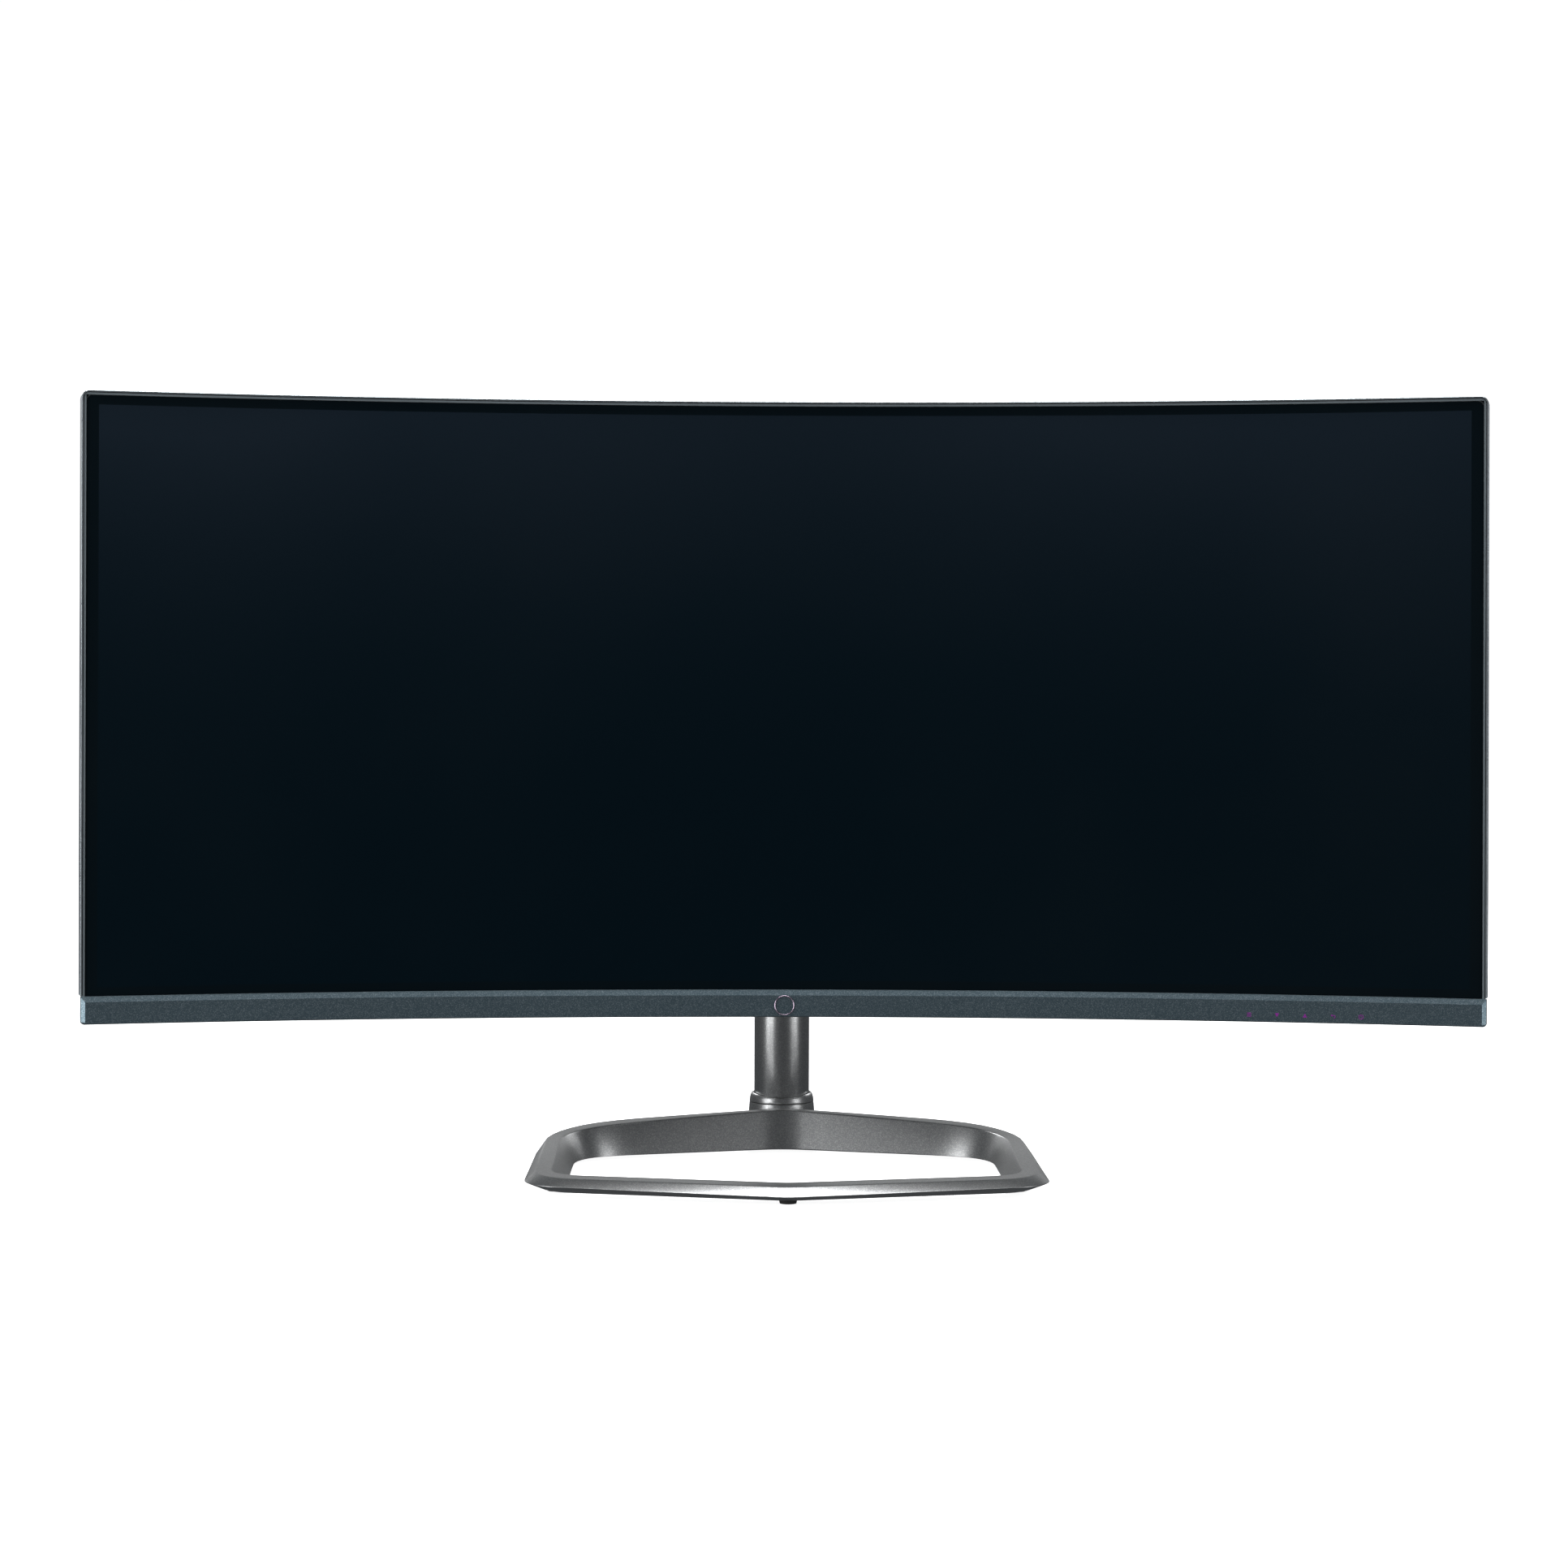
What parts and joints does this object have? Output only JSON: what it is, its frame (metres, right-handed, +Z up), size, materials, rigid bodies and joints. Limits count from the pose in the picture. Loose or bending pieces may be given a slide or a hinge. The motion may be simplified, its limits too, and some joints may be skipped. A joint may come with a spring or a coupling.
{
  "type": "computer monitor",
  "caption": "Wide curved computer monitor on a hexagonal ring base, with a round column and height, tilt and swivel adjustment.",
  "frame": {"origin": "swivel axis of the stand at the desk surface", "axes": "+X to the viewer's right, -Y out of the screen toward the viewer, +Z up"},
  "size_m": [0.813, 0.2981, 0.4495],
  "materials": {
    "dark_metallic_paint": "satin metallic flake",
    "chin_paint": "satin metallic flake",
    "screen_glass": "anti-glare satin",
    "optical_sheet": "matt",
    "clear_acrylic": "clear",
    "circuit_board": "solder mask",
    "component_black": "matt",
    "zinc_steel": "zinc plated",
    "trim_metal": "anodised",
    "badge_metal": "satin",
    "black_plastic": "fine texture",
    "rubber": "matt",
    "machined_steel": "machined",
    "cast_bracket": "satin black",
    "acetal": "natural",
    "ribbon_cable": "flat"
  },
  "bodies": {
    "base": {"base_ring": "dark_metallic_paint", "rubber_feet": "rubber", "hub_pad": "rubber", "foot_insert": "machined_steel", "lower_collar": "dark_metallic_paint", "swivel_washer": "acetal", "retaining_ring": "machined_steel"},
    "thumbscrew": {"thumbscrew": "machined_steel"},
    "thumbscrew_ring": {"thumbscrew_ring": "machined_steel"},
    "column": {"column_tube": "dark_metallic_paint", "column_plug": "acetal", "upper_collar": "dark_metallic_paint", "column_cap": "black_plastic", "guide_rods": "machined_steel", "spring_reel": "machined_steel", "lift_spring": "machined_steel"},
    "carriage": {"glider": "acetal", "neck": "cast_bracket", "head_bracket": "cast_bracket", "hinge_pin": "machined_steel", "friction_washers": "machined_steel", "hinge_nuts": "machined_steel", "head_cover": "black_plastic"},
    "display": {"lcd_cell": "screen_glass", "optical_films": "optical_sheet", "light_guide": "clear_acrylic", "led_strip": "circuit_board", "panel_tray": "zinc_steel", "source_board": "circuit_board", "timing_board": "circuit_board", "outer_trim": "trim_metal", "mid_frame": "black_plastic", "chin_bezel": "chin_paint", "badge_ring": "badge_metal", "rear_cover": "black_plastic", "arm_bracket": "zinc_steel", "chassis_plate": "zinc_steel", "dock_plate": "cast_bracket", "tilt_knuckle": "cast_bracket", "dock_screws": "machined_steel", "main_board": "circuit_board", "power_board": "circuit_board", "board_components": "component_black", "video_sockets": "machined_steel", "graphics_sockets": "machined_steel", "audio_socket": "black_plastic", "power_inlet": "black_plastic", "key_board": "circuit_board", "tact_switches": "component_black", "panel_cable": "ribbon_cable", "key_cable": "ribbon_cable", "backlight_cable": "ribbon_cable", "cover_screws": "machined_steel"},
    "menu_button": {"menu_button": "black_plastic"},
    "back_button": {"back_button": "black_plastic"},
    "down_button": {"down_button": "black_plastic"},
    "up_button": {"up_button": "black_plastic"},
    "power_button": {"power_button": "black_plastic"},
    "release_button": {"release_button": "black_plastic"}
  },
  "joints": [
    {"name": "swivel", "type": "hinge", "parent": "base", "child": "column", "pos_m": [0, 0, 0.0253], "axis": [0, 0, 1], "range_deg": [-20, 20]},
    {"name": "lift", "type": "slide", "parent": "column", "child": "carriage", "axis": [0, 0, 1], "range_m": [-0.04, 0.08], "deforming": ["lift_spring"]},
    {"name": "tilt", "type": "hinge", "parent": "carriage", "child": "display", "pos_m": [0, -0.038, 0.268], "axis": [-1, 0, 0], "range_deg": [-5, 18]},
    {"name": "menu_button_press", "type": "slide", "parent": "display", "child": "menu_button", "axis": [0, 0, 1], "range_m": [0, 0.0007], "stiffness_N_per_m": 500, "springref_m": -0.0004},
    {"name": "back_button_press", "type": "slide", "parent": "display", "child": "back_button", "axis": [0, 0, 1], "range_m": [0, 0.0007], "stiffness_N_per_m": 500, "springref_m": -0.0004},
    {"name": "down_button_press", "type": "slide", "parent": "display", "child": "down_button", "axis": [0, 0, 1], "range_m": [0, 0.0007], "stiffness_N_per_m": 500, "springref_m": -0.0004},
    {"name": "up_button_press", "type": "slide", "parent": "display", "child": "up_button", "axis": [0, 0, 1], "range_m": [0, 0.0007], "stiffness_N_per_m": 500, "springref_m": -0.0004},
    {"name": "power_button_press", "type": "slide", "parent": "display", "child": "power_button", "axis": [0, 0, 1], "range_m": [0, 0.0007], "stiffness_N_per_m": 500, "springref_m": -0.0004},
    {"name": "release_press", "type": "slide", "parent": "display", "child": "release_button", "axis": [0, 0, 1], "range_m": [0, 0.003], "stiffness_N_per_m": 300, "springref_m": -0.001},
    {"name": "thumbscrew_turn", "type": "hinge", "parent": "base", "child": "thumbscrew", "pos_m": [0, 0, 0.005], "axis": [0, 0, 1], "continuous": true},
    {"name": "thumbscrew_ring_fold", "type": "hinge", "parent": "thumbscrew", "child": "thumbscrew_ring", "pos_m": [0, 0, 0.0025], "axis": [1, 0, 0], "range_deg": [0, 90]}
  ]
}
